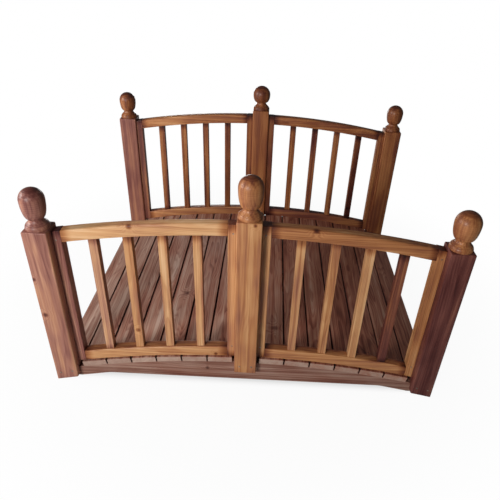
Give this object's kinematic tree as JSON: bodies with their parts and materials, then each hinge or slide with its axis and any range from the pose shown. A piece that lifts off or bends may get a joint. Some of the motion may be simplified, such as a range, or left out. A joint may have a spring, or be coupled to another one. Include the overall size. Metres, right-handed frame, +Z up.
{
  "type": "moon bridge",
  "caption": "Small arched wooden garden footbridge: cross-board deck on arched stringers, square posts with turned finials and arched baluster railings.",
  "frame": {"origin": "on the ground under the middle of the bridge", "axes": "+X along the walkway, +Y across it, +Z up"},
  "size_m": [1.4883, 1.2578, 0.9019],
  "materials": {
    "post_wood": "stained softwood under satin varnish",
    "finial_wood": "stained softwood under satin varnish",
    "rail_wood": "stained softwood under satin varnish",
    "stringer_wood": "stained softwood under satin varnish",
    "deck_wood": "stained softwood under satin varnish"
  },
  "bodies": {
    "root": {"post_front_left": "post_wood", "post_front_centre": "post_wood", "post_front_right": "post_wood", "post_back_left": "post_wood", "post_back_centre": "post_wood", "post_back_right": "post_wood", "finials_front": "finial_wood", "finials_back": "finial_wood", "bottom_rail_front_left": "rail_wood", "top_rail_front_left": "rail_wood", "bottom_rail_front_right": "rail_wood", "top_rail_front_right": "rail_wood", "bottom_rail_back_left": "rail_wood", "top_rail_back_left": "rail_wood", "bottom_rail_back_right": "rail_wood", "top_rail_back_right": "rail_wood", "stiles_front_left": "rail_wood", "stiles_front_right": "rail_wood", "stiles_back_left": "rail_wood", "stiles_back_right": "rail_wood", "balusters_front_left": "rail_wood", "balusters_front_right": "rail_wood", "balusters_back_left": "rail_wood", "balusters_back_right": "rail_wood", "stringer_front": "stringer_wood", "stringer_middle": "stringer_wood", "stringer_back": "stringer_wood", "deck_board_01": "deck_wood", "deck_board_02": "deck_wood", "deck_board_03": "deck_wood", "deck_board_04": "deck_wood", "deck_board_05": "deck_wood", "deck_board_06": "deck_wood", "deck_board_07": "deck_wood", "deck_board_08": "deck_wood", "deck_board_09": "deck_wood", "deck_board_10": "deck_wood", "deck_board_11": "deck_wood", "deck_board_12": "deck_wood", "deck_board_13": "deck_wood", "deck_board_14": "deck_wood", "deck_board_15": "deck_wood"}
  },
  "joints": []
}
